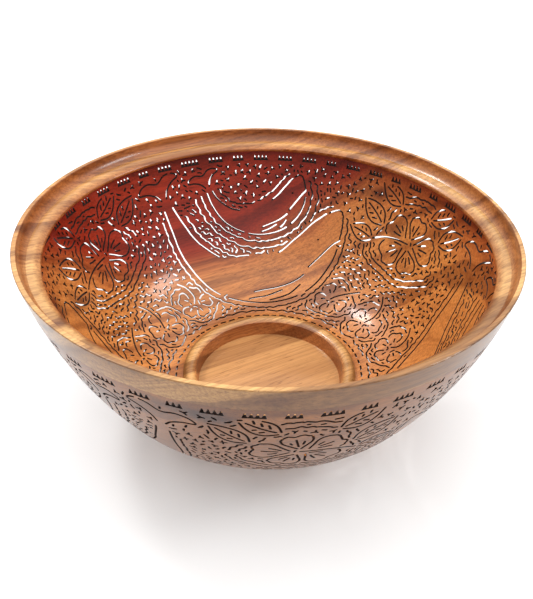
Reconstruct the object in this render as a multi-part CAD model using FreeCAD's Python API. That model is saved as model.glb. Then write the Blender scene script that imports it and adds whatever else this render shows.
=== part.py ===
import FreeCAD, Part

import math
import os

# A turned wooden bowl, standing on its foot ring.
# Origin: centre of the foot's underside.  +Z: up, the axis every piece was turned on.
# Every section below is drawn as (radius, height) in millimetres and turned about Z.

# --- driving dimensions -------------------------------------------------------
RIM_RADIUS = 140.0          # outside of the lip
HEIGHT = 126.0              # foot to lip
WALL = 2.6                  # thickness of the pierced wall
LEAN = 11.5                 # degrees the wall leans out at the lip
SIDE_ARC = 255.0            # radius of the long curve down the side
KNEE_ARC = 65.0             # radius of the tighter curve that turns the side under

FOOT_HEIGHT = 12.2          # lowest point of the wall's underside, on the foot
FOOT_JOIN = 58.5            # outside of the foot where it meets the wall
FOOT_RADIUS = 57.0          # outside of the foot where it stands
FOOT_WAIST = (55.4, 7.3)    # deepest point of the cove between the foot and the wall
FOOT_INSIDE = 44.0          # the foot is hollow inside this radius
FOOT_CHAMFER = 0.8

DISC_RADIUS = 50.0          # floor disc, let into the foot
DISC_UNDERSIDE = 3.5
FLOOR = 8.9                 # the dish's flat bottom

BEAD_TOP = 20.3             # crest of the bead round the floor
BEAD_OUTSIDE = 56.4
BEAD_INSIDE = 47.6
BEAD_ROUND_OUTSIDE = 2.2    # how far below the crest the bead's rounding ends, outside
BEAD_ROUND_INSIDE = 1.6     # and inside
BEAD_DRAFT = 0.5            # the bead's outside leans in this far
FLOOR_COVE = 0.5            # hollow of the recess wall down to the floor
FLOOR_EDGE = 46.4           # radius of the flat floor that shows

RIM_SEAT = 112.0            # joint between wall and rim
RIM_WALL = 3.4              # thickness of the wall at that joint
FLARE_FOOT = 98.4           # the inside has thinned to WALL by this height
FLARE_HOLLOW = 0.3
TONGUE_HEIGHT = 3.5
LIP_FLAT = 2.6
LIP_ROUND = 0.7
COVE_FOOT = (133.6, 118.1)  # where the cove meets the lid ledge
COVE_DEPTH = 1.2
LEDGE_NOSE = (126.8, 115.6)
LEDGE_CROWN = 0.9
LEDGE_THICKNESS = 2.4
LEDGE_ROUND = 1.0           # fullness of the ledge's nose
LEDGE_HOLLOW = 0.6          # hollow of its underside
LIP_CORNER = 0.2            # fullness of the lip's outer corner


# --- drawing helpers ----------------------------------------------------------
def at(point):
    return FreeCAD.Vector(point[0], 0, point[1])


def line(a, b):
    return Part.makeLine(at(a), at(b))


def arc(a, middle, b):
    return Part.Arc(at(a), at(middle), at(b)).toShape()


def bulge(a, b, depth):
    """Arc from a to b that stands off the chord by depth, to the right of the way from a to b."""
    run = (b[0] - a[0], b[1] - a[1])
    length = math.hypot(*run)
    middle = ((a[0] + b[0]) / 2 + depth * run[1] / length, (a[1] + b[1]) / 2 - depth * run[0] / length)
    return arc(a, middle, b)


def turned(edges):
    """The solid swept by a closed section that goes once round the Z axis."""
    face = Part.Face(Part.Wire(edges))
    solid = face.revolve(FreeCAD.Vector(0, 0, 0), FreeCAD.Vector(0, 0, 1), 360)
    return solid if solid.Volume > 0 else solid.reversed()


# --- the bowl's curve: a side arc, then a tighter knee arc tangent to it ------
SIDE_CENTRE = (
    RIM_RADIUS - SIDE_ARC * math.cos(math.radians(LEAN)),
    HEIGHT + SIDE_ARC * math.sin(math.radians(LEAN)),
)
KNEE_HEIGHT = FOOT_HEIGHT + KNEE_ARC
KNEE_CENTRE = (
    SIDE_CENTRE[0] + math.sqrt((SIDE_ARC - KNEE_ARC) ** 2 - (SIDE_CENTRE[1] - KNEE_HEIGHT) ** 2),
    KNEE_HEIGHT,
)
KNEE_ANGLE = math.atan2(KNEE_CENTRE[1] - SIDE_CENTRE[1], KNEE_CENTRE[0] - SIDE_CENTRE[0])
WALL_END = KNEE_CENTRE[0]   # the wall stops at its lowest point, trapped under the bead
FLANGE_TOP = FOOT_HEIGHT + WALL


def polar(centre, radius, angle):
    return (centre[0] + radius * math.cos(angle), centre[1] + radius * math.sin(angle))


def side_angle(height, inset):
    return math.asin((height - SIDE_CENTRE[1]) / (SIDE_ARC - inset))


def side_point(height, inset=0.0):
    """Point on the side arc at this height, inset from the outside."""
    return polar(SIDE_CENTRE, SIDE_ARC - inset, side_angle(height, inset))


def side_curve(low, high, inset=0.0):
    angles = (side_angle(low, inset), side_angle(high, inset))
    points = [polar(SIDE_CENTRE, SIDE_ARC - inset, a) for a in (angles[0], sum(angles) / 2, angles[1])]
    return arc(*points)


def knee_angle(radius, inset=0.0):
    return -math.acos((radius - KNEE_CENTRE[0]) / (KNEE_ARC - inset))


def knee_point(radius, inset=0.0):
    return polar(KNEE_CENTRE, KNEE_ARC - inset, knee_angle(radius, inset))


def knee_curve(to_angle, inset=0.0):
    """From the wall's lower end up the knee arc to an angle."""
    angles = (-math.pi / 2, (to_angle - math.pi / 2) / 2, to_angle)
    return arc(*[polar(KNEE_CENTRE, KNEE_ARC - inset, a) for a in angles])


# --- pieces -------------------------------------------------------------------
def rim_ring():
    """Lip, cove and lid ledge, with a groove underneath for the wall's tongue."""
    seat_out = side_point(RIM_SEAT)
    seat_in = side_point(RIM_SEAT, RIM_WALL)
    tongue_out = seat_in[0] + RIM_WALL / 2
    groove_top = RIM_SEAT + TONGUE_HEIGHT
    round_start = side_point(HEIGHT - LIP_ROUND)
    lip_edge = (RIM_RADIUS - LIP_ROUND, HEIGHT)
    lip_inner = (RIM_RADIUS - LIP_FLAT, HEIGHT)
    lip_drop = (lip_inner[0] - LIP_ROUND / 2, HEIGHT - LIP_ROUND / 2)
    nose_under = (LEDGE_NOSE[0] + LEDGE_THICKNESS / 2, LEDGE_NOSE[1] - LEDGE_THICKNESS)
    return turned([
        side_curve(RIM_SEAT, HEIGHT - LIP_ROUND),
        bulge(round_start, lip_edge, LIP_CORNER),
        line(lip_edge, lip_inner),
        line(lip_inner, lip_drop),
        bulge(lip_drop, COVE_FOOT, -COVE_DEPTH),
        bulge(COVE_FOOT, LEDGE_NOSE, LEDGE_CROWN),
        bulge(LEDGE_NOSE, nose_under, LEDGE_ROUND),
        bulge(nose_under, seat_in, -LEDGE_HOLLOW),
        line(seat_in, (seat_in[0], groove_top)),
        line((seat_in[0], groove_top), (tongue_out, groove_top)),
        line((tongue_out, groove_top), (tongue_out, RIM_SEAT)),
        line((tongue_out, RIM_SEAT), seat_out),
    ])


def pierced_wall():
    """The bowl's thin side: thicker at its tongued top edge. Its lower edge lies between foot and bead."""
    seat_out = side_point(RIM_SEAT)
    seat_in = side_point(RIM_SEAT, RIM_WALL)
    tongue_out = seat_in[0] + RIM_WALL / 2
    tongue_top = RIM_SEAT + TONGUE_HEIGHT
    knee_out = polar(KNEE_CENTRE, KNEE_ARC, KNEE_ANGLE)
    knee_in = polar(KNEE_CENTRE, KNEE_ARC - WALL, KNEE_ANGLE)
    return turned([
        knee_curve(KNEE_ANGLE),
        side_curve(knee_out[1], RIM_SEAT),
        line(seat_out, (tongue_out, RIM_SEAT)),
        line((tongue_out, RIM_SEAT), (tongue_out, tongue_top)),
        line((tongue_out, tongue_top), (seat_in[0], tongue_top)),
        line((seat_in[0], tongue_top), seat_in),
        bulge(seat_in, side_point(FLARE_FOOT, WALL), -FLARE_HOLLOW),
        side_curve(knee_in[1], FLARE_FOOT, WALL),
        knee_curve(KNEE_ANGLE, WALL),
        line((WALL_END, FLANGE_TOP), (WALL_END, FOOT_HEIGHT)),
    ])


def floor_ring():
    """The raised bead round the floor, stepped underneath over disc, foot and wall."""
    bead_crown = ((BEAD_OUTSIDE + BEAD_INSIDE) / 2, BEAD_TOP)
    outer_foot = knee_point(BEAD_OUTSIDE, WALL)
    outer_shoulder = (BEAD_OUTSIDE - BEAD_DRAFT, BEAD_TOP - BEAD_ROUND_OUTSIDE)
    inner_shoulder = (BEAD_INSIDE, BEAD_TOP - BEAD_ROUND_INSIDE)
    return turned([
        line((FLOOR_EDGE, FLOOR), (DISC_RADIUS, FLOOR)),
        line((DISC_RADIUS, FLOOR), (DISC_RADIUS, FOOT_HEIGHT)),
        line((DISC_RADIUS, FOOT_HEIGHT), (WALL_END, FOOT_HEIGHT)),
        line((WALL_END, FOOT_HEIGHT), (WALL_END, FLANGE_TOP)),
        knee_curve(knee_angle(BEAD_OUTSIDE, WALL), WALL),
        line(outer_foot, outer_shoulder),
        arc(outer_shoulder, bead_crown, inner_shoulder),
        bulge(inner_shoulder, (FLOOR_EDGE, FLOOR), -FLOOR_COVE),
    ])


def floor_disc():
    """Plain round board that closes the bottom."""
    disc = Part.makeCylinder(DISC_RADIUS, FLOOR - DISC_UNDERSIDE)
    disc.translate(FreeCAD.Vector(0, 0, DISC_UNDERSIDE))
    return disc


def foot_ring():
    """The ring the bowl stands on, with a shelf inside for the disc."""
    shoulder = knee_point(FOOT_JOIN)
    heel = (FOOT_RADIUS, FOOT_CHAMFER)
    return turned([
        line((FOOT_INSIDE + FOOT_CHAMFER, 0), (FOOT_RADIUS - FOOT_CHAMFER, 0)),
        line((FOOT_RADIUS - FOOT_CHAMFER, 0), heel),
        arc(heel, FOOT_WAIST, shoulder),
        knee_curve(knee_angle(FOOT_JOIN)),
        line((WALL_END, FOOT_HEIGHT), (DISC_RADIUS, FOOT_HEIGHT)),
        line((DISC_RADIUS, FOOT_HEIGHT), (DISC_RADIUS, DISC_UNDERSIDE)),
        line((DISC_RADIUS, DISC_UNDERSIDE), (FOOT_INSIDE, DISC_UNDERSIDE)),
        line((FOOT_INSIDE, DISC_UNDERSIDE), (FOOT_INSIDE, FOOT_CHAMFER)),
        line((FOOT_INSIDE, FOOT_CHAMFER), (FOOT_INSIDE + FOOT_CHAMFER, 0)),
    ])


PIECES = {
    "rim_ring": rim_ring,
    "pierced_wall": pierced_wall,
    "floor_ring": floor_ring,
    "floor_disc": floor_disc,
    "foot_ring": foot_ring,
}

os.makedirs("parts", exist_ok=True)
for name, make in PIECES.items():
    shape = make()
    assert shape.isValid() and shape.Volume > 0, name
    shape.exportStep(f"parts/{name}.step")
    print(f"{name}: {shape.Volume / 1000:.1f} cm3")
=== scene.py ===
import math
import random

import bpy
import numpy as np
from mathutils import Matrix, Vector


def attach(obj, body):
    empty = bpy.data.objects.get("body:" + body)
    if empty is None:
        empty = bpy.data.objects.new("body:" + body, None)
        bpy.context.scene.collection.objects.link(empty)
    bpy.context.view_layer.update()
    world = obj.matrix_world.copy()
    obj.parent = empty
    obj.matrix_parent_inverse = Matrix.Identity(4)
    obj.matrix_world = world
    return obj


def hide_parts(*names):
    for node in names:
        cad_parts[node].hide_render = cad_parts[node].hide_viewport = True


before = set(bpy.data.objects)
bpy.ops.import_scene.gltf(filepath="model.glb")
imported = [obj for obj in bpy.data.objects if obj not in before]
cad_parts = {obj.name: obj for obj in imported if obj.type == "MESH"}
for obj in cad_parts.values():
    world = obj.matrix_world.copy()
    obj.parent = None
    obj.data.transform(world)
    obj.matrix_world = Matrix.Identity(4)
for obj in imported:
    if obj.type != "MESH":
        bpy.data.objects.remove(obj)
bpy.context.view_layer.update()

# --- the bowl's turned shape, in millimetres, the same as in the part's source ----------------
RIM_RADIUS = 140.0
HEIGHT = 126.0
WALL = 2.6
RIM_WALL = 3.4
LEAN = math.radians(11.5)
SIDE_ARC = 255.0
KNEE_ARC = 65.0
FOOT_HEIGHT = 12.2
RIM_SEAT = 112.0
FLARE_RUN = 13.8            # the wall thins from RIM_WALL to WALL over this much of its depth

SIDE_CENTRE = (RIM_RADIUS - SIDE_ARC * math.cos(LEAN), HEIGHT + SIDE_ARC * math.sin(LEAN))
KNEE_HEIGHT = FOOT_HEIGHT + KNEE_ARC
KNEE_CENTRE = (
    SIDE_CENTRE[0] + math.sqrt((SIDE_ARC - KNEE_ARC) ** 2 - (SIDE_CENTRE[1] - KNEE_HEIGHT) ** 2),
    KNEE_HEIGHT,
)
KNEE_ANGLE = math.atan2(KNEE_CENTRE[1] - SIDE_CENTRE[1], KNEE_CENTRE[0] - SIDE_CENTRE[0])
MIDDLE = WALL / 2
TOP_ANGLE = math.asin((RIM_SEAT - SIDE_CENTRE[1]) / (SIDE_ARC - MIDDLE))
SIDE_RUN = (TOP_ANGLE - KNEE_ANGLE) * (SIDE_ARC - MIDDLE)
KNEE_RUN = (KNEE_ANGLE + math.pi / 2) * (KNEE_ARC - MIDDLE)
DEPTH = SIDE_RUN + KNEE_RUN   # from the rim joint down the middle of the wall to its lower edge


# --- drawing on the wall ----------------------------------------------------------------------
# A point of the drawing is (degrees round from +Y towards +X, millimetres down the wall).
REPEAT = 120.0              # the drawing comes round three times
START = -100.0              # its left edge
KERF = 1.2                  # width of a sawn line
WOOD_LEFT = 2.1             # least distance between the middles of two lines
STEP = 0.5                  # distance between the points of a sawn line
TOP_LIMIT = 9.6             # lines keep this far down from the rim
FOOT_LIMIT = 132.5          # and above this
SHORTEST = 2.4              # a line shorter than this isn't sawn
SHORTEST_DASH = 1.5
COMB_FOOT = 8.0             # foot of the comb border
COMB_PITCH = 2.75           # from tooth to tooth
COMB_TEETH = (4, 4, 3, 4, 3, 4, 4, 3, 4, 5, 4, 3, 4, 4, 4, 3)


def wall_point(down):
    """(radius, height) of the middle of the wall, this far down it."""
    if down < SIDE_RUN:
        angle = TOP_ANGLE - down / (SIDE_ARC - MIDDLE)
        centre, radius = SIDE_CENTRE, SIDE_ARC - MIDDLE
    else:
        angle = KNEE_ANGLE - (down - SIDE_RUN) / (KNEE_ARC - MIDDLE)
        centre, radius = KNEE_CENTRE, KNEE_ARC - MIDDLE
    return centre[0] + radius * math.cos(angle), centre[1] + radius * math.sin(angle)


def mm_per_degree(down):
    return math.radians(wall_point(down)[0])


def in_space(point):
    radius, height = wall_point(point[1])
    turn = math.radians(point[0])
    return (radius * math.sin(turn), radius * math.cos(turn), height)


def shifted(centre, across, down, turn=0.0):
    """The point this many millimetres across and down from a centre, in axes turned by an angle."""
    c, s = math.cos(turn), math.sin(turn)
    v = centre[1] + across * s + down * c
    return (centre[0] + (across * c - down * s) / mm_per_degree(v), v)


def gap_between(a, b):
    return math.hypot((b[0] - a[0]) * mm_per_degree((a[1] + b[1]) / 2), b[1] - a[1])


def stepped(points, step):
    """The same line with a point every step."""
    out, spare = [points[0]], 0.0
    for a, b in zip(points, points[1:]):
        length = gap_between(a, b)
        reach = step - spare
        while reach <= length:
            f = reach / length
            out.append((a[0] + (b[0] - a[0]) * f, a[1] + (b[1] - a[1]) * f))
            reach += step
        spare = length - (reach - step)
    if gap_between(out[-1], points[-1]) > step * 0.3:
        out.append(points[-1])
    return out


def smooth(points, step=STEP):
    """A smooth line through the points."""
    if len(points) < 3:
        return stepped(points, step)
    ends = [points[0], *points, points[-1]]
    out = []
    for a, b, c, d in zip(ends, ends[1:], ends[2:], ends[3:]):
        for k in range(12):
            t = k / 12
            out.append(tuple(
                0.5 * (2 * q + (r - p) * t + (2 * p - 5 * q + 4 * r - s) * t * t
                       + (3 * q - p - 3 * r + s) * t ** 3)
                for p, q, r, s in zip(a, b, c, d)))
    return stepped([*out, points[-1]], step)


def tangent(path, i):
    """Unit direction of the path at a point, in millimetres across and down."""
    a, b = path[max(0, i - 2)], path[min(len(path) - 1, i + 2)]
    across, down = (b[0] - a[0]) * mm_per_degree(path[i][1]), b[1] - a[1]
    length = math.hypot(across, down) or 1.0
    return across / length, down / length


def beside(path, offset):
    """The line that runs beside a path, offset(fraction) millimetres to its left."""
    out = []
    for i, p in enumerate(path):
        across, down = tangent(path, i)
        off = offset(i / (len(path) - 1))
        out.append((p[0] + down * off / mm_per_degree(p[1]), p[1] - across * off))
    return out


def scalloped(path, pitch, depth):
    """The path with round lobes of uneven length standing off to its left."""
    length = sum(gap_between(a, b) for a, b in zip(path, path[1:]))
    lobes = max(1, round(length / pitch))

    def lobe(f):
        phase = lobes * f + 0.22 * math.sin(2 * math.pi * lobes * f / 3.3)
        uneven = 0.75 + 0.25 * math.sin(5 * phase)
        return depth * uneven * abs(math.sin(math.pi * phase)) ** 0.55
    return beside(path, lobe)


def within(shape, point):
    """Whether the point lies inside a closed outline."""
    inside = False
    for (x0, y0), (x1, y1) in zip(shape, shape[1:] + shape[:1]):
        if (y0 > point[1]) != (y1 > point[1]):
            if point[0] < x0 + (point[1] - y0) * (x1 - x0) / (y1 - y0):
                inside = not inside
    return inside


class Drawing:
    """The sawn lines in the order they are drawn. A new line stops short of those already there."""
    CELL = 3.0              # the points are kept in cells of this size, so that near ones are found fast
    FAR = 99.0

    def __init__(self):
        self.lines = []
        self.holes = []
        self.plain = []
        self.cells = {}

    def cell(self, p):
        return tuple(math.floor(c / self.CELL) for c in p)

    def mark(self, points):
        for point in points:
            for turn in (-REPEAT, 0, REPEAT):
                p = in_space((point[0] + turn, point[1]))
                self.cells.setdefault(self.cell(p), []).append(p)

    def room(self, point):
        """Millimetres from here to the nearest line, or FAR if none is within a cell."""
        p = in_space(point)
        x, y, z = self.cell(p)
        near = self.FAR
        for i in (-1, 0, 1):
            for j in (-1, 0, 1):
                for k in (-1, 0, 1):
                    for q in self.cells.get((x + i, y + j, z + k), ()):
                        near = min(near, math.dist(p, q))
        return near

    def saw(self, path, shortest=SHORTEST):
        """Cuts a line, except where it comes too near the others."""
        run = []
        runs = [run]
        for p in stepped(path, STEP):
            if TOP_LIMIT < p[1] < FOOT_LIMIT and self.room(p) > WOOD_LEFT:
                run.append(p)
            elif run:
                run = []
                runs.append(run)
        for run in runs:
            if len(run) * STEP >= shortest:
                self.lines.append(run)
                self.mark(run)

    def line(self, *points, **how):
        self.saw(smooth(points), **how)

    def pierce(self, outline):
        """A small hole of its own outline."""
        self.holes.append(outline)
        self.mark(stepped(outline + outline[:1], 0.7))

    def keep_plain(self, shape):
        self.plain += [[(x + turn, y) for x, y in shape] for turn in (-REPEAT, 0, REPEAT)]

    def is_plain(self, point):
        return any(within(shape, point) for shape in self.plain)


def comb_border(drawing):
    """The row of little combs under the rim: teeth that stand on a bar, each comb one opening."""
    scale = mm_per_degree(COMB_FOOT)
    space = (REPEAT * scale - sum(COMB_TEETH) * COMB_PITCH) / len(COMB_TEETH)
    tooth = ((0.12, 1.1), (0.26, 3.7), (0.46, 3.8), (0.86, 1.1))    # (part of the pitch, height)
    x = 0.8
    for teeth in COMB_TEETH:
        outline = [(x, COMB_FOOT)]
        for i in range(teeth):
            foot = x + i * COMB_PITCH
            outline += [(foot + part * COMB_PITCH, COMB_FOOT - height) for part, height in tooth]
        outline.append((x + teeth * COMB_PITCH, COMB_FOOT))
        drawing.pierce([(START + across / scale, down) for across, down in outline])
        x += teeth * COMB_PITCH + space


def whale(drawing, course, girth, size):
    """A plain whale along a course from tail to snout, its back to the left of the way."""
    spine = smooth(course, 1.0)

    def half(f):
        """Half the body's breadth: it swells from tail to chest and is rounded off to the snout."""
        swell = min(1.0, f / 0.64)
        snout = min(1.0, (1.0 - f) / 0.36)
        rounded = max(0.01, 1 - (1 - snout) ** 2.3) ** 0.7
        return girth * (0.16 + 0.84 * swell ** 1.7 * (2.35 - 1.35 * swell)) * rounded

    def at(f, off):
        """At this fraction of the spine, off half-breadths to the left."""
        i = min(len(spine) - 1, max(0, round(f * (len(spine) - 1))))
        across, down = tangent(spine, i)
        off *= half(f)
        return (spine[i][0] + down * off / mm_per_degree(spine[i][1]), spine[i][1] - across * off)

    def along(f0, f1, off, more=0.0):
        """The line beside the spine from one fraction to another, and some millimetres further out."""
        out = []
        for k in range(25):
            f = f0 + (f1 - f0) * k / 24
            out.append(at(f, off + more / half(f)))
        return out

    back, belly = 1, -1
    drawing.keep_plain(along(0, 0.99, back) + along(0.99, 0, belly))
    # the flukes, in one line from one root to the other
    way = tangent(spine, 0)
    turn = math.atan2(way[1], way[0])
    lobe = ((0.06, 0.13), (-0.24, 0.30), (-0.48, 0.62), (-0.62, 1.0), (-0.84, 0.80), (-0.88, 0.42))
    outline = [*lobe, (-0.70, 0.0), *[(x, -y) for x, y in reversed(lobe)]]
    outline = [shifted(at(0, 0), x * size, y * size, turn) for x, y in outline]
    drawing.line(*outline)
    drawing.keep_plain(outline)
    # back, with the small fin, and belly
    drawing.line(*along(0.05, 0.33, back))
    fin = 4.2 / girth
    drawing.line(*along(0.36, 0.50, back), at(0.515, 1 + 0.4 * fin), at(0.51, 1 + 1.0 * fin),
                 at(0.535, 1 + 0.6 * fin), at(0.56, 1.02), *along(0.58, 0.66, back))
    drawing.line(*along(0.69, 0.95, back))
    drawing.line(*along(0.05, 0.40, belly))
    drawing.line(*along(0.43, 0.66, belly))
    drawing.line(*along(0.69, 0.86, belly))
    # snout and mouth
    drawing.line(*along(0.965, 1.0, back), *along(1.0, 0.90, belly), at(0.86, -0.62), at(0.80, -0.36),
                 at(0.74, -0.26))
    drawing.line(*along(0.71, 0.58, -0.34), at(0.52, -0.44))
    # flipper, folded back under the chest
    drawing.line(at(0.68, -0.60), at(0.63, -0.80), at(0.55, -0.92), at(0.50, -0.84), at(0.56, -0.66),
                 at(0.62, -0.52))
    # eye
    eye = at(0.85, 0.14)
    round_it = np.linspace(0, 2 * math.pi, 7)[:-1].tolist()
    drawing.pierce([shifted(eye, 0.9 * math.cos(a), 0.7 * math.sin(a)) for a in round_it])
    return along


def petal(centre, size, heading, wide):
    """The outline of one petal, from its root round its tip; wide is half its spread in degrees."""
    edge = ((0.24, 0.40), (0.45, 0.82), (0.70, 1.0), (0.90, 0.86), (1.03, 0.42))
    rays = [(r, -wide * w) for r, w in edge] + [(0.97, 0.0)] + [(r, wide * w) for r, w in reversed(edge)]
    out = []
    for reach, degrees in rays:
        a = heading + math.radians(degrees)
        out.append(shifted(centre, size * reach * math.cos(a), size * reach * math.sin(a)))
    return out


def hibiscus(drawing, centre, size, leaning):
    """Five frilled petals round a curved stamen."""
    stem = [(0.0, 0.0), (0.28, 0.42), (0.62, 0.78), (0.94, 0.98)]
    drawing.line(*[shifted(centre, x * size, y * size, leaning) for x, y in stem])
    for k, (long, wide) in enumerate(((1.0, 33), (0.90, 29), (1.06, 32), (0.94, 30), (1.04, 33))):
        heading = leaning + 0.95 + math.radians(72 * k + 34)
        outline = petal(centre, size * long, heading, wide)
        drawing.keep_plain(outline)
        smoothed = smooth(outline, 0.4)
        plain_run = round(0.30 * len(smoothed))
        frill = scalloped(smoothed[plain_run:-plain_run], 4.4, 0.8)
        drawing.saw(smoothed[:plain_run] + frill + smoothed[-plain_run:])

        def at(r, degrees):
            a = heading + math.radians(degrees)
            return shifted(centre, size * long * r * math.cos(a), size * long * r * math.sin(a))
        for degrees, start, end in ((-13, 0.42, 0.70), (1, 0.30, 0.80), (14, 0.44, 0.66)):
            middle = (start + end) / 2
            drawing.line(at(start, degrees * 0.7), at(middle, degrees * 1.05), at(end, degrees * 1.1))


def leaf(drawing, stalk, tip, fullness, veins):
    """A pointed leaf: two edges, a midrib and side veins."""
    middle = ((stalk[0] + tip[0]) / 2, (stalk[1] + tip[1]) / 2)
    across, down = (tip[0] - stalk[0]) * mm_per_degree(middle[1]), tip[1] - stalk[1]
    length, turn = math.hypot(across, down), math.atan2(down, across)

    def at(x, y):
        return shifted(middle, (x - 0.5) * length, y * length, turn)
    edge = ((0.06, 0.22), (0.26, 0.86), (0.5, 1.0), (0.76, 0.66), (1.0, 0.04))
    drawing.keep_plain([at(x, y * fullness) for x, y in edge]
                       + [at(x, -y * fullness) for x, y in reversed(edge)])
    for side in (-1, 1):
        drawing.line(*[at(x, side * y * fullness) for x, y in edge])
    drawing.line(at(0.10, 0), at(0.45, 0.02), at(0.82, 0))
    for k in range(veins):
        x = 0.26 + 0.18 * k
        for side in (-1, 1):
            drawing.line(at(x + 0.06, side * fullness * 0.30), at(x + 0.15, side * fullness * 0.64),
                         shortest=SHORTEST_DASH)


def blossom(drawing, centre, size, turn, stamen):
    """A small flower with round petals and a long hooked stamen."""
    drawing.line(*stamen)
    for k in range(5):
        heading = turn + math.radians(72 * k)
        outline = petal(centre, size, heading, 31)
        drawing.keep_plain(outline)
        drawing.saw(smooth(outline[1:-1], 0.4))
        vein = [shifted(centre, size * r * math.cos(heading), size * r * math.sin(heading))
                for r in (0.42, 0.62)]
        drawing.line(*vein, shortest=SHORTEST_DASH)


def echo(drawing, centre, size, wander, flat=1.0):
    """An uneven scalloped line round a flower, left open a little way."""
    ring = []
    for a in np.linspace(0.2, 2 * math.pi, 60).tolist():
        reach = size * (1 + 0.09 * math.sin(3 * a + wander) + 0.05 * math.sin(5 * a + 2 * wander))
        ring.append(shifted(centre, reach * math.cos(a), reach * flat * math.sin(a)))
    drawing.saw(scalloped(smooth(ring, 0.4), 6.2, 1.3))


def speck(rng, centre):
    """A little star, with two to four blunt arms."""
    arms = rng.choice((2, 3, 3, 3, 4))
    turn = rng.uniform(0, 2 * math.pi)
    outline = []
    for k in range(arms):
        a = turn + 2 * math.pi * k / arms + rng.uniform(-0.3, 0.3)
        reach = rng.uniform(1.5, 2.5)
        for lean in (-0.45, 0.45):
            corner = a + lean / reach
            outline.append(shifted(centre, reach * math.cos(corner), reach * math.sin(corner)))
        b = turn + 2 * math.pi * (k + 0.5) / arms
        outline.append(shifted(centre, 0.75 * math.cos(b), 0.75 * math.sin(b)))
    return outline


def scatter_specks(drawing, rng, tries, inside):
    """Stars wherever there is still room for them."""
    for _ in range(tries):
        centre = inside(rng)
        if drawing.room(centre) > 2.6 and not drawing.is_plain(centre):
            outline = speck(rng, centre)
            if min(drawing.room(p) for p in outline) > 1.45:
                drawing.pierce(outline)


def scatter_dashes(drawing, rng, tries, inside, flow, long=(2.2, 4.6)):
    """Short bent strokes that follow the drawing's flow and fill what is left."""
    for _ in range(tries):
        centre = inside(rng)
        if drawing.room(centre) < 2.0 or drawing.is_plain(centre):
            continue
        turn = flow(centre) + rng.gauss(0, 0.35)
        reach = rng.uniform(*long) / 2
        bend = rng.uniform(-0.7, 0.7)
        drawing.line(shifted(centre, -reach, bend / 2, turn), shifted(centre, 0, -bend / 2, turn),
                     shifted(centre, reach, bend / 2, turn), shortest=SHORTEST_DASH)


def scatter_squiggles(drawing, rng, tries, inside, flow, long):
    """Wavy strokes that run with the drawing's flow."""
    for _ in range(tries):
        centre = inside(rng)
        if drawing.room(centre) < 2.2 or drawing.is_plain(centre):
            continue
        turn = flow(centre) + rng.gauss(0, 0.25)
        reach, phase = rng.uniform(*long) / 2, rng.uniform(0, 6)
        run = np.linspace(-reach, reach, 15).tolist()
        wave = [shifted(centre, x, 0.85 * math.sin(1.25 * x + phase), turn) for x in run]
        drawing.saw(smooth(wave), shortest=3.0)


GREAT_COURSE = ((-41, 26.5), (-38.8, 48), (-35, 72), (-24.5, 95), (-8, 100.5), (6, 92.5), (13.5, 75),
                (17.6, 57), (21.6, 39.5))
SMALL_COURSE = ((-25.5, 24.5), (-23.2, 38), (-18, 49.5), (-10, 54), (-2.5, 50), (2.8, 39), (6.0, 18))
FLOWER = (-70.5, 44.5)
LEAVES = (                  # stalk, tip, fullness, pairs of side veins
    ((-77.5, 22), (-86, 10.5), 0.28, 3),
    ((-66, 22), (-57.5, 10.5), 0.28, 3),
    ((-59.5, 33), (-51.5, 17), 0.26, 3),
    ((-82, 40), (-91, 25), 0.27, 3),
    ((-84.5, 52), (-94, 47), 0.30, 2),
)
BLOSSOMS = ((-91, 105), (-67, 109), (-44, 106))
STAMENS = (
    ((-80, 92), (-84, 96), (-89.0, 101.5), (-91.5, 105.5)),
    ((-69, 86), (-66.5, 93), (-65.8, 102), (-67.6, 109.0)),
    ((-47, 88), (-44, 93), (-42.6, 101), (-44.4, 106.0)),
)
LOWER_LINE = 126.5          # the scalloped line above the wall's lower edge
LOWER_DASHES = 130.4        # and the row of dashes under it
LOWER_DASH_END = 130.6


def flow(point):
    """The way the fill runs at a point: round the nearest flower."""
    centre = min((FLOWER, *BLOSSOMS), key=lambda c: gap_between(c, point))
    scale = mm_per_degree(point[1])
    return math.atan2(point[1] - centre[1], (point[0] - centre[0]) * scale) + math.pi / 2


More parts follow.
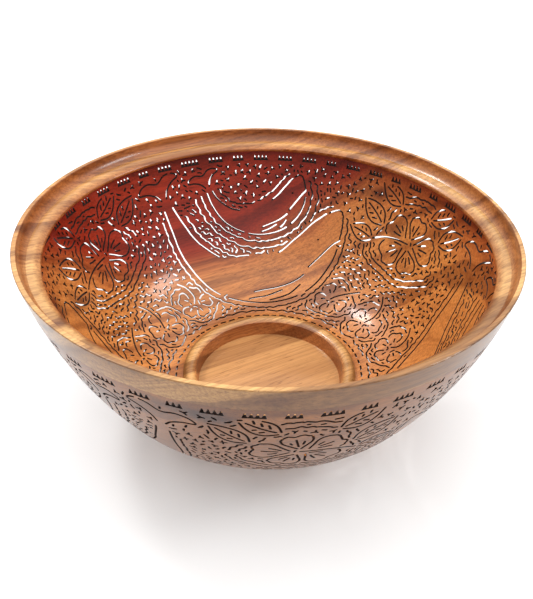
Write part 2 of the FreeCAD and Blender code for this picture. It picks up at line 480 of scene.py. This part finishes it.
def fretwork():
    """Everything that is sawn in one third of the wall."""
    drawing = Drawing()
    rng = random.Random(11)
    comb_border(drawing)
    # two whales that circle, the small one inside the great one's curve, and lines that echo them
    great = whale(drawing, GREAT_COURSE, 19.0, 16.5)
    small = whale(drawing, SMALL_COURSE, 11.5, 12.0)
    for course, part, pitch, depth in (
            (small, (0.98, 0.05, -1, -4.4), 6.5, 1.3), (small, (0.98, 0.05, -1, -9.4), 7.5, 1.6),
            (small, (0.05, 0.97, 1, 4.4), 6.0, 1.2), (great, (0.99, 0.08, -1, -3.9), 6.0, 1.2),
            (great, (0.10, 0.99, 1, 4.2), 6.5, 1.3)):
        drawing.saw(scalloped(smooth(course(*part), 0.4), pitch, depth))
    # flowers and leaves between one great whale and the next
    hibiscus(drawing, FLOWER, 21.5, 2.1)
    for stalk, tip, fullness, veins in LEAVES:
        leaf(drawing, stalk, tip, fullness, veins)
    for centre, size, turn, stamen in zip(BLOSSOMS, (12.5, 13.0, 12.5), (0.3, 0.9, 0.1), STAMENS):
        blossom(drawing, centre, size, turn, stamen)
    for reach in (26.5, 31.0):
        echo(drawing, FLOWER, reach, 0.4)
    for centre, wander in zip(BLOSSOMS, (1.0, 2.2, 3.1)):
        echo(drawing, centre, 17.0, wander, 0.9)
    # lower border
    foot_line = [(x, LOWER_LINE) for x in np.linspace(START, START + REPEAT, 40).tolist()]
    drawing.saw(scalloped(smooth(foot_line, 0.4), 7.5, 1.8))
    scale = mm_per_degree(LOWER_DASHES)
    x = START
    while x < START + REPEAT - 3:
        length = rng.uniform(2.2, 4.0)
        drawing.line((x, LOWER_DASHES + rng.uniform(-0.5, 0.5)), (x + length / scale, LOWER_DASH_END),
                     shortest=SHORTEST_DASH)
        x += (length + rng.uniform(2.6, 3.6)) / scale

    def patch(left, right, top, foot):
        return lambda r: (r.uniform(left, right), r.uniform(top, foot))
    everywhere = (START, START + REPEAT)
    scatter_specks(drawing, rng, 1500, patch(-24, 3, 10.8, 38.0))
    scatter_specks(drawing, rng, 700, patch(*everywhere, 10.8, 22.0))
    scatter_specks(drawing, rng, 900, patch(-60, -42, 30.0, 86.0))
    scatter_squiggles(drawing, rng, 6000, patch(*everywhere, 54.0, 124.0), flow, (5.0, 12.0))
    scatter_specks(drawing, rng, 700, patch(*everywhere, 10.8, 75.0))
    scatter_dashes(drawing, rng, 5000, patch(*everywhere, 10.5, 124.0), flow)
    return drawing


# --- sawing the drawing through the wall ------------------------------------------------------
SLAB_SCALE = 2.0            # the flat slab's millimetres per degree
SLAB_THICK = 3.0            # the flat slab is cut first, then thinned and bent to the bowl
SEAM = -101.3               # where one third ends and the next begins
STEPS_ROUND, STEPS_DOWN = 49, 28    # the slab's own points, so that it bends evenly
SLACK = 0.05                # an outline may leave its line by this much
EASINGS = 12                # tries to clear an outline that crosses itself
STEEP_RUN = 45.0            # the cuts are steeper than elsewhere this far down from the rim
RISE_BELOW = 0.85           # the rise further down, as a part of what the rim adds
LEVEL_RUN = 3.0             # and the wall's top edge itself stays level
LEAST_FACES = 20000         # fewer than this means that the cut failed
MM = 0.001


def kerf_outline(path):
    """The closed, round-ended outline of a sawn line."""
    thinned = thin_out(path, SLACK)
    left, right = [], []
    for i, p in enumerate(thinned):
        a, b = thinned[max(0, i - 1)], thinned[min(len(thinned) - 1, i + 1)]
        scale = mm_per_degree(p[1])
        across, down = (b[0] - a[0]) * scale, b[1] - a[1]
        reach = KERF / 2 / (math.hypot(across, down) or 1.0)
        left.append((p[0] - down * reach / scale, p[1] + across * reach))
        right.append((p[0] + down * reach / scale, p[1] - across * reach))

    def round_end(start, centre):
        angle = math.atan2(start[1] - centre[1], (start[0] - centre[0]) * mm_per_degree(centre[1]))
        turns = [angle - k * math.pi / 4 for k in (1, 2, 3)]
        return [shifted(centre, KERF / 2 * math.cos(a), KERF / 2 * math.sin(a)) for a in turns]
    return [*left, *round_end(left[-1], thinned[-1]), *reversed(right), *round_end(right[0], thinned[0])]


def thin_out(path, slack):
    """Drops the points that a straight run passes within slack of."""
    if len(path) < 3:
        return list(path)
    first, last = path[0], path[-1]
    scale = mm_per_degree((first[1] + last[1]) / 2)
    across, down = (last[0] - first[0]) * scale, last[1] - first[1]
    length = math.hypot(across, down)

    def stray(p):
        x, y = (p[0] - first[0]) * scale, p[1] - first[1]
        return abs(x * down - y * across) / length if length > 1e-9 else math.hypot(x, y)
    worst = max(range(1, len(path) - 1), key=lambda i: stray(path[i]))
    if stray(path[worst]) <= slack:
        return [first, last]
    return thin_out(path[:worst + 1], slack)[:-1] + thin_out(path[worst:], slack)


def eased(path):
    """The path with its sharp bends rounded a little; its ends stay."""
    middle = [tuple(0.25 * a + 0.5 * b + 0.25 * c for a, b, c in zip(*three))
              for three in zip(path, path[1:], path[2:])]
    return [path[0], *middle, path[-1]]


def crosses_itself(outline):
    """Whether any two sides of a closed outline cross."""
    start = np.array(outline)
    end = np.roll(start, -1, axis=0)

    def side(a, b, p):
        return (b[:, None, 0] - a[:, None, 0]) * (p[None, :, 1] - a[:, None, 1]) \
            - (b[:, None, 1] - a[:, None, 1]) * (p[None, :, 0] - a[:, None, 0])
    parts = side(start, end, start) * side(start, end, end) < 0
    crossing = parts & parts.T
    count = len(outline)
    for step in (-1, 0, 1):
        crossing[np.arange(count), (np.arange(count) + step) % count] = False
    return bool(crossing.any())


def clean_outline(path):
    """A sawn line's outline, eased until it no longer crosses itself; a hopeless one is left out."""
    for _ in range(EASINGS):
        outline = kerf_outline(path)
        if not crosses_itself(outline):
            return [outline]
        path = eased(path)
    return []


def outlines_mesh(drawing):
    """The outlines laid flat over one third of the wall, with those that cross its two ends.

    One outline that crosses itself would make the whole cut come out empty, so none is let through.
    """
    outlines = [hole for hole in drawing.holes if not crosses_itself(hole)]
    for line in drawing.lines:
        outlines += clean_outline(eased(line))
    points, edges = [], []
    for outline in outlines:
        for turn in (-REPEAT, 0, REPEAT):
            moved = [(x + turn, y) for x, y in outline]
            if max(x for x, _ in moved) < SEAM or min(x for x, _ in moved) > SEAM + REPEAT:
                continue
            first = len(points)
            points += [((x - SEAM) * SLAB_SCALE, y, 0.0) for x, y in moved]
            edges += [(first + i, first + (i + 1) % len(moved)) for i in range(len(moved))]
    mesh = bpy.data.meshes.new("sawn_lines")
    mesh.from_pydata(points, edges, [])
    return mesh


class Nodes:
    """A node tree, built with one call for each node."""

    def __init__(self, tree):
        self.tree = tree

    def put(self, value, socket):
        if isinstance(value, bpy.types.NodeSocket):
            self.tree.links.new(value, socket)
        else:
            socket.default_value = value

    def node(self, kind, sockets=None, out=0, **settings):
        made = self.tree.nodes.new(kind)
        for name, value in settings.items():
            setattr(made, name, value)
        for key, value in (sockets or {}).items():
            for one in value if isinstance(value, list) else [value]:
                self.put(one, made.inputs[key])
        return made.outputs[out]

    def maths(self, operation, *values):
        return self.node("ShaderNodeMath", dict(enumerate(values)), operation=operation)

    def split(self, vector):
        """The vector's three parts."""
        made = self.tree.nodes.new("ShaderNodeSeparateXYZ")
        self.tree.links.new(vector, made.inputs[0])
        return made.outputs


class Shape(Nodes):
    """A Geometry Nodes tree with named inputs."""

    def __init__(self, name, **inputs):
        super().__init__(bpy.data.node_groups.new(name, "GeometryNodeTree"))
        face = self.tree.interface
        face.new_socket("Geometry", in_out="INPUT", socket_type="NodeSocketGeometry")
        face.new_socket("Geometry", in_out="OUTPUT", socket_type="NodeSocketGeometry")
        self.identifiers = {}
        for label, value in inputs.items():
            kind = "NodeSocketInt" if isinstance(value, int) else "NodeSocketFloat"
            socket = face.new_socket(label, in_out="INPUT", socket_type=kind)
            socket.default_value = value
            self.identifiers[label] = socket.identifier
        self.inputs = self.tree.nodes.new("NodeGroupInput").outputs
        self.output = self.tree.nodes.new("NodeGroupOutput").inputs[0]


def bend(tree, slab):
    """Bends the flat slab on to the side arc and the knee arc, and thins it to the wall's thickness."""
    m = tree.maths
    x, down, through = tree.split(tree.node("GeometryNodeInputPosition"))
    wall, rim_wall = tree.inputs["Wall"], tree.inputs["Rim wall"]
    above = m("SUBTRACT", 1.0, m("DIVIDE", down, tree.inputs["Flare"]))
    flare = m("POWER", m("MAXIMUM", above, 0.0), 2.0)
    thick = m("ADD", wall, m("MULTIPLY", m("SUBTRACT", rim_wall, wall), flare))
    inset = m("MULTIPLY", thick, m("SUBTRACT", 1.0, m("DIVIDE", through, SLAB_THICK)))
    turn = m("RADIANS", m("ADD", m("DIVIDE", x, SLAB_SCALE), SEAM))
    # the saw was held aslant: the cuts run sideways and upwards on their way out, steepest near the rim
    outward = m("DIVIDE", m("MULTIPLY", thick, through), SLAB_THICK)
    near_rim = m("MAXIMUM", m("SUBTRACT", 1.0, m("DIVIDE", down, STEEP_RUN)), 0.0)
    rise = m("MULTIPLY", m("ADD", near_rim, RISE_BELOW), tree.inputs["Rise"])
    rise = m("MULTIPLY", rise, m("MINIMUM", m("DIVIDE", down, LEVEL_RUN), 1.0))
    down = m("SUBTRACT", down, m("MULTIPLY", rise, outward))
    side = m("SUBTRACT", SIDE_ARC, inset)
    top = m("ARCSINE", m("DIVIDE", RIM_SEAT - SIDE_CENTRE[1], side))
    side_angle = m("ADD", top, m("MULTIPLY", m("SUBTRACT", KNEE_ANGLE, top),
                                 m("DIVIDE", down, SIDE_RUN)))
    knee = m("SUBTRACT", KNEE_ARC, inset)
    knee_angle = m("SUBTRACT", KNEE_ANGLE, m("DIVIDE", m("SUBTRACT", down, SIDE_RUN),
                                             KNEE_ARC - MIDDLE))
    on_knee = m("GREATER_THAN", down, SIDE_RUN)

    def either(function, k):
        on_side = m("ADD", SIDE_CENTRE[k], m("MULTIPLY", side, m(function, side_angle)))
        below = m("ADD", KNEE_CENTRE[k], m("MULTIPLY", knee, m(function, knee_angle)))
        return m("ADD", m("MULTIPLY", below, on_knee),
                 m("MULTIPLY", on_side, m("SUBTRACT", 1.0, on_knee)))
    reach = either("COSINE", 0)
    turn = m("ADD", turn, m("DIVIDE", m("MULTIPLY", outward, tree.inputs["Drift"]), reach))
    radius, height = m("MULTIPLY", reach, MM), m("MULTIPLY", either("SINE", 1), MM)
    joined = tree.node("ShaderNodeCombineXYZ", {
        0: m("MULTIPLY", radius, m("SINE", turn)), 1: m("MULTIPLY", radius, m("COSINE", turn)), 2: height})
    return tree.node("GeometryNodeSetPosition", {"Geometry": slab, "Position": joined})


def sawn_wall_tree(wood, sawn_wood):
    """Cuts the outlines through a flat slab, bends it, and sets three of them round the bowl."""
    tree = Shape("sawn_wall", **{"Wall": WALL, "Rim wall": RIM_WALL, "Flare": FLARE_RUN, "Drift": 0.33,
                                 "Rise": 0.28, "Steps round": STEPS_ROUND, "Steps down": STEPS_DOWN,
                                 "Thirds": 3})
    node, maths = tree.node, tree.maths
    lines = node("GeometryNodeMeshToCurve", {0: tree.inputs["Geometry"]})
    flat = node("GeometryNodeFillCurve", {0: lines}, mode="NGONS")
    low = node("GeometryNodeTransform", {"Geometry": flat, "Translation": (0, 0, -1.0)})
    raised = node("GeometryNodeExtrudeMesh", {"Mesh": low, "Offset": (0, 0, 1), "Individual": False,
                                              "Offset Scale": SLAB_THICK + 2.0}, mode="FACES")
    under = node("GeometryNodeFlipFaces", {0: low})
    both = node("GeometryNodeJoinGeometry", {0: [raised, under]})
    blades = node("GeometryNodeMergeByDistance", {0: both, "Distance": 0.0005})
    block = node("GeometryNodeMeshCube", {"Size": (REPEAT * SLAB_SCALE, DEPTH, SLAB_THICK), "Vertices Z": 2,
                                          "Vertices X": tree.inputs["Steps round"],
                                          "Vertices Y": tree.inputs["Steps down"]})
    slab = node("GeometryNodeTransform", {"Geometry": block, "Translation":
                                          (REPEAT * SLAB_SCALE / 2, DEPTH / 2, SLAB_THICK / 2)})
    cut = node("GeometryNodeMeshBoolean", {0: slab, 1: blades}, operation="DIFFERENCE", solver="MANIFOLD")
    # the two ends, where the thirds meet, are taken off
    normal = tree.split(node("GeometryNodeInputNormal"))
    x = tree.split(node("GeometryNodeInputPosition"))[0]
    from_middle = maths("ABSOLUTE", maths("SUBTRACT", x, REPEAT * SLAB_SCALE / 2))
    at_end = maths("GREATER_THAN", from_middle, REPEAT * SLAB_SCALE / 2 - 0.001)
    facing = maths("GREATER_THAN", maths("ABSOLUTE", normal[0]), 0.99)
    ends = maths("MULTIPLY", at_end, facing)
    opened = node("GeometryNodeDeleteGeometry", {0: cut, "Selection": ends}, domain="FACE")
    # what the saw cut stands square to the slab's faces
    sawn = maths("LESS_THAN", maths("ABSOLUTE", normal[2]), 0.5)
    marked = node("GeometryNodeStoreNamedAttribute", {0: opened, "Name": "sawn", "Value": sawn},
                  data_type="FLOAT", domain="FACE")
    whole = node("GeometryNodeTriangulate", {0: marked})
    third = bend(tree, whole)
    turns = node("GeometryNodeMeshLine", {"Count": tree.inputs["Thirds"], "Offset": (0, 0, 0)},
                 mode="OFFSET")
    step = maths("RADIANS", maths("MULTIPLY", node("GeometryNodeInputIndex"), -REPEAT))
    round_z = node("ShaderNodeCombineXYZ", {2: step})
    ring = node("GeometryNodeInstanceOnPoints", {"Points": turns, "Instance": third, "Rotation": round_z})
    loose = node("GeometryNodeRealizeInstances", {0: ring})
    joined = node("GeometryNodeMergeByDistance", {0: loose, "Distance": 0.000002})
    finished = node("GeometryNodeSetMaterial", {"Geometry": joined, "Material": wood})
    is_sawn = node("GeometryNodeInputNamedAttribute", {"Name": "sawn"}, data_type="FLOAT")
    on_edges = maths("GREATER_THAN", is_sawn, 0.5)
    edges = node("GeometryNodeSetMaterial", {"Geometry": finished, "Selection": on_edges,
                                             "Material": sawn_wood})
    tree.put(edges, tree.output)
    return tree


def plain_mesh(obj):
    """Turns an object's modifiers into its own plain mesh."""
    evaluated = obj.evaluated_get(bpy.context.evaluated_depsgraph_get())
    mesh = bpy.data.meshes.new_from_object(evaluated)
    obj.modifiers.clear()
    obj.data = mesh
    mesh.name = obj.name
    return obj


def shade_as_turned(mesh):
    """Gives the wall's turned faces the normals of the true curve, so that the lacquer is one sweep."""
    count = len(mesh.loops)
    corner_vertex = np.empty(count, dtype=np.int32)
    mesh.loops.foreach_get("vertex_index", corner_vertex)
    places = np.empty(len(mesh.vertices) * 3, dtype=np.float32)
    mesh.vertices.foreach_get("co", places)
    places = places.reshape(-1, 3)[corner_vertex] / MM
    flat = np.empty(len(mesh.polygons) * 3, dtype=np.float32)
    mesh.polygons.foreach_get("normal", flat)
    sizes = np.empty(len(mesh.polygons), dtype=np.int32)
    mesh.polygons.foreach_get("loop_total", sizes)
    flat = np.repeat(flat.reshape(-1, 3), sizes, axis=0)
    radius = np.hypot(places[:, 0], places[:, 1])
    on_side = places[:, 2] > SIDE_CENTRE[1] + math.sin(KNEE_ANGLE) * SIDE_ARC
    centre_r = np.where(on_side, SIDE_CENTRE[0], KNEE_CENTRE[0])
    centre_z = np.where(on_side, SIDE_CENTRE[1], KNEE_CENTRE[1])
    out_r, out_z = radius - centre_r, places[:, 2] - centre_z
    length = np.hypot(out_r, out_z)
    true = np.stack([places[:, 0] / radius * out_r / length, places[:, 1] / radius * out_r / length,
                     out_z / length], axis=1)
    along = (true * flat).sum(axis=1)
    true *= np.sign(along)[:, None]
    turned = np.abs(along) > 0.93
    normals = np.where(turned[:, None], true, flat)
    mesh.polygons.foreach_set("use_smooth", np.ones(len(mesh.polygons), dtype=bool))
    mesh.normals_split_custom_set(normals.tolist())


def pierced_wall(wood, sawn_wood):
    """The thin shell with the drawing sawn right through it."""
    tree = sawn_wall_tree(wood, sawn_wood)
    wall = bpy.data.objects.new("sawn_wall", outlines_mesh(fretwork()))
    bpy.context.scene.collection.objects.link(wall)
    modifier = wall.modifiers.new("sawn", "NODES")
    modifier.node_group = tree.tree
    for label, value in (("Steps round", STEPS_ROUND), ("Steps down", STEPS_DOWN)):
        modifier[tree.identifiers[label]] = value
    plain_mesh(wall)
    assert len(wall.data.polygons) > LEAST_FACES, "the saw cut nothing"
    shade_as_turned(wall.data)
    return wall


# --- finishes ---------------------------------------------------------------------------------
def colour(red, green, blue):
    """Linear colour from 0-255 values as a painter would pick them."""
    def linear(v):
        v /= 255
        return v / 12.92 if v <= 0.04045 else ((v + 0.055) / 1.055) ** 2.4
    return (linear(red), linear(green), linear(blue), 1.0)


class Finish(Nodes):
    """A material."""

    def __init__(self, name):
        self.material = bpy.data.materials.new(name)
        self.material.use_nodes = True
        super().__init__(self.material.node_tree)
        self.shader = self.tree.nodes["Principled BSDF"]

    def ramp(self, value, *stops):
        made = self.tree.nodes.new("ShaderNodeValToRGB")
        self.tree.links.new(value, made.inputs[0])
        elements = made.color_ramp.elements
        while len(elements) < len(stops):
            elements.new(0.5)
        for element, (place, shade) in zip(elements, stops):
            element.position = place
            element.color = shade
        return made.outputs[0]

    def mix(self, amount, a, b, blend="MIX"):
        made = self.tree.nodes.new("ShaderNodeMix")
        made.data_type = "RGBA"
        made.blend_type = blend
        for index, value in ((0, amount), (6, a), (7, b)):
            self.put(value, made.inputs[index])
        return made.outputs[2]

    def set(self, **values):
        for name, value in values.items():
            self.put(value, self.shader.inputs[name.replace("_", " ")])
        return self.material


BLACK, WHITE = (0, 0, 0, 1), (1, 1, 1, 1)
GRAIN = math.radians(33)    # the way the fibres run, from +X towards +Y
PITH = (0.32, -0.315)       # the tree's middle: metres off the bowl's axis, across the grain, and its height
COAT = 0.34                 # how much of the lacquer's own shine shows


def timber(name, pale, dark, streak, dark_from=(0.542, 0.578), outside=0.54, hollow_shade=1.0, under_rim_shade=0.0,
           dark_outside=None, contrast=1.0):
    """Lacquered hardwood cut from one board: pale and dark wood, growth bands, streaks, fibres and pores,
    and painted shade under the rim, on inward faces and on the outside.
    """
    f = Finish(name)
    place = f.node("ShaderNodeTexCoord", out=3)
    board = f.node("ShaderNodeMapping", {"Vector": place, "Rotation": (0, 0, -GRAIN)})

    def figure(scale, detail, roughness=0.5, start=(0, 0, 0)):
        """Noise at its own scale along and across the board."""
        drawn = f.node("ShaderNodeMapping", {"Vector": board, "Scale": scale, "Location": start})
        return f.node("ShaderNodeTexNoise", {"Vector": drawn, "Scale": 1.0, "Detail": detail,
                                             "Roughness": roughness})

    stretched = f.node("ShaderNodeMapping", {"Vector": board, "Scale": (0.12, 1.0, 1.0)})
    drift = f.node("ShaderNodeTexNoise", {"Vector": stretched, "Scale": 15.0, "Detail": 3.0,
                                          "Roughness": 0.5})
    _, across, height = f.split(board)
    y, z = f.maths("ADD", across, PITH[0]), f.maths("SUBTRACT", height, PITH[1])
    from_pith = f.maths("SQRT", f.maths("ADD", f.maths("MULTIPLY", y, y), f.maths("MULTIPLY", z, z)))
    wander = f.maths("MULTIPLY", f.maths("SUBTRACT", drift, 0.5), 0.05)
    wandering = f.maths("ADD", from_pith, wander)
    # the dark wood begins this far from the middle of the tree
    zone = f.node("ShaderNodeMapRange", {"Value": wandering, "From Min": dark_from[0],
                                         "From Max": dark_from[1]}, interpolation_type="SMOOTHSTEP")
    radial = f.node("ShaderNodeVectorMath", {0: place, 1: (1, 1, 0)}, operation="MULTIPLY")
    away = f.node("ShaderNodeVectorMath", {0: radial}, operation="NORMALIZE")
    normal = f.node("ShaderNodeNewGeometry", out=1)
    outward = f.node("ShaderNodeVectorMath", {0: normal, 1: away}, out=1, operation="DOT_PRODUCT")
    is_outside = f.ramp(outward, (0.20, BLACK), (0.60, WHITE))
    is_hollow = f.ramp(f.maths("MULTIPLY", outward, -1.0), (0.30, BLACK), (0.75, WHITE))
    # painted shade: inward faces high up inside, under the rim, take on the dark wood's colour where the rim
    # shades them
    high = f.ramp(f.maths("MULTIPLY", f.split(place)[2], 8.0), (0.62, BLACK), (0.90, WHITE))
    painted_rim_shade = f.maths("MULTIPLY", f.maths("MULTIPLY", high, is_hollow), under_rim_shade)
    darkest = f.mix(is_outside, dark, dark_outside or dark)
    shade = f.mix(f.maths("MAXIMUM", zone, painted_rim_shade), pale, darkest)

    def bands(rate, roughness):
        """Growth bands round the tree's middle."""
        return f.node("ShaderNodeTexNoise", {"W": f.maths("MULTIPLY", wandering, rate), "Scale": 1.0,
                                             "Detail": 2.0, "Roughness": roughness},
                      noise_dimensions="1D")

    broad = f.ramp(bands(70.0, 0.55), (0.30, (0.52, 0.44, 0.40, 1)), (0.48, WHITE),
                   (0.66, (1.16, 1.22, 1.25, 1)))
    shade = f.mix(0.75 * contrast, shade, broad, "MULTIPLY")
    fine = f.ramp(bands(420.0, 0.6), (0.32, (0.66, 0.58, 0.54, 1)), (0.55, (1.06, 1.08, 1.10, 1)))
    shade = f.mix(0.50 * contrast, shade, fine, "MULTIPLY")
    # a few dark flames
    flame = figure((5.0, 26.0, 34.0), 2.0, start=(0.3, 0.1, 0.7))
    shade = f.mix(f.ramp(flame, (0.60, BLACK), (0.74, (0.85, 0.85, 0.85, 1))), shade, streak)
    fibre = figure((22, 700, 700), 3.0, 0.65)
    fibres = f.ramp(fibre, (0.34, (0.56, 0.48, 0.42, 1)), (0.60, (1.10, 1.10, 1.10, 1)))
    shade = f.mix(0.60 * contrast, shade, fibres, "MULTIPLY")
    pores = f.ramp(figure((110, 1500, 1500), 1.0), (0.64, WHITE), (0.72, (0.40, 0.30, 0.25, 1)))
    shade = f.mix(0.6, shade, pores, "MULTIPLY")
    # painted shade: the outside is made darker and warmer, and faces that turn towards the middle are made
    # darker and redder
    painted_outside_shade = f.mix(1.0, shade, (outside, outside * 0.92, outside * 0.80, 1), "MULTIPLY")
    shade = f.mix(is_outside, shade, painted_outside_shade)
    painted_hollow_shade = f.mix(1.0, shade, (hollow_shade, hollow_shade ** 2, hollow_shade ** 2.5, 1), "MULTIPLY")
    shade = f.mix(is_hollow, shade, painted_hollow_shade)
    ripple = f.node("ShaderNodeTexNoise", {"Vector": place, "Scale": 30.0, "Detail": 2.0})
    relief = f.node("ShaderNodeBump", {"Height": f.mix(0.25, fibre, ripple), "Strength": 0.06,
                                       "Distance": 0.0006})
    gloss = f.maths("ADD", 0.26, f.maths("MULTIPLY", fibre, 0.10))
    return f.set(Base_Color=shade, Roughness=gloss, Normal=relief, Coat_Weight=COAT, Coat_Roughness=0.10,
                 Coat_IOR=1.5, Specular_IOR_Level=0.35)


def sawn_edge():
    """The sides of the sawn lines: bare end and side grain, darkened by the blade, and near black as painted
    shade deep in the narrow cuts.
    """
    f = Finish("sawn_edge")
    place = f.node("ShaderNodeTexCoord", out=3)
    char_and_shade = f.node("ShaderNodeTexNoise", {"Vector": place, "Scale": 420.0, "Detail": 2.0})
    # near-black browns: the blade's charring and painted shade inside the cuts
    shade = f.ramp(char_and_shade, (0.35, colour(24, 11, 7)), (0.65, colour(50, 24, 14)))
    return f.set(Base_Color=shade, Roughness=0.75)


# The darkening of the outside, of inward faces and of the wall under the rim, set below, is painted shade.
rim_timber = timber("rim_timber", colour(206, 156, 96), colour(198, 142, 82), colour(92, 36, 18),
                    hollow_shade=0.68, dark_outside=colour(150, 66, 36), contrast=1.2)
wall_timber = timber("wall_timber", colour(204, 130, 64), colour(152, 43, 20), colour(80, 26, 14),
                     outside=0.37, under_rim_shade=0.75, dark_outside=colour(156, 68, 34))
floor_timber = timber("floor_timber", colour(200, 146, 90), colour(188, 130, 76), colour(120, 62, 34),
                      contrast=0.7)
foot_timber = timber("foot_timber", colour(156, 96, 56), colour(120, 66, 38), colour(72, 32, 18))
sawn = sawn_edge()

wall = pierced_wall(wall_timber, sawn)
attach(wall, "root")
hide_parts("pierced_wall")
for node_name, finish in (("rim_ring", rim_timber), ("floor_ring", rim_timber),
                          ("floor_disc", floor_timber), ("foot_ring", foot_timber)):
    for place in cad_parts[node_name].material_slots:
        place.material = finish


# --- the table and the light ------------------------------------------------------------------
def pale_floor():
    mesh = bpy.data.meshes.new("table")
    reach = 6.0
    corners = [(-reach, -reach, 0), (reach, -reach, 0), (reach, reach, 0), (-reach, reach, 0)]
    mesh.from_pydata(corners, [], [(0, 1, 2, 3)])
    table = bpy.data.objects.new("table", mesh)
    bpy.context.scene.collection.objects.link(table)
    f = Finish("table_white")
    mesh.materials.append(f.set(Base_Color=(0.91, 0.91, 0.91, 1), Roughness=0.9, Specular_IOR_Level=0.1))
    return table


def soft_light(name, place, aim, size, power):
    data = bpy.data.lights.new(name, "AREA")
    data.shape = "RECTANGLE"
    data.size, data.size_y = size
    data.energy = power
    lamp = bpy.data.objects.new(name, data)
    bpy.context.scene.collection.objects.link(lamp)
    lamp.location = place
    lamp.rotation_mode = "QUATERNION"
    lamp.rotation_quaternion = (Vector(aim) - Vector(place)).to_track_quat("-Z", "Y")
    return lamp


def camera(place, ahead, roll, lens, shift):
    data = bpy.data.cameras.new("camera")
    data.lens = lens
    data.sensor_width = 36.0
    data.shift_x, data.shift_y = shift
    data.clip_start, data.clip_end = 0.01, 50.0
    view = bpy.data.objects.new("camera", data)
    bpy.context.scene.collection.objects.link(view)
    back = -Vector(ahead).normalized()
    right = Vector((1, 0, 0))
    up = back.cross(right)
    turned_right = right * math.cos(roll) + up * math.sin(roll)
    turned_up = up * math.cos(roll) - right * math.sin(roll)
    frame_axes = Matrix((turned_right, turned_up, back)).transposed().to_4x4()
    view.matrix_world = Matrix.Translation(place) @ frame_axes
    bpy.context.scene.camera = view


def overhead_sky(zenith, horizon, backdrop):
    """Soft light from all round, brighter from above, in front of a plain pale backdrop."""
    world = bpy.data.worlds.new("studio")
    bpy.context.scene.world = world
    world.use_nodes = True
    studio = Nodes(world.node_tree)
    height = studio.split(studio.node("ShaderNodeTexCoord"))[2]
    glow = studio.node("ShaderNodeMapRange", {"Value": height, "To Min": horizon, "To Max": zenith},
                       interpolation_type="SMOOTHSTEP")
    seen = studio.node("ShaderNodeLightPath")
    strength = studio.node("ShaderNodeMix", {0: seen, 2: glow, 3: backdrop})
    background = studio.tree.nodes["Background"]
    studio.put(strength, background.inputs["Strength"])
    background.inputs["Color"].default_value = WHITE


pale_floor()
overhead_sky(1.95, 0.18, 1.0)
soft_light("key", (-0.85, 0.55, 1.50), (0, 0, 0.05), (0.30, 0.30), 9.0)
soft_light("side_box", (1.25, 0.10, 0.85), (0, 0, 0.05), (0.5, 0.35), 6.0)
bpy.context.scene.view_settings.view_transform = "Standard"

camera(place=(0.017569, -0.347939, 0.319267), ahead=(0, 0.814085, -0.580746), roll=math.radians(2.99),
       lens=42.07, shift=(-0.0559, 0.0051))
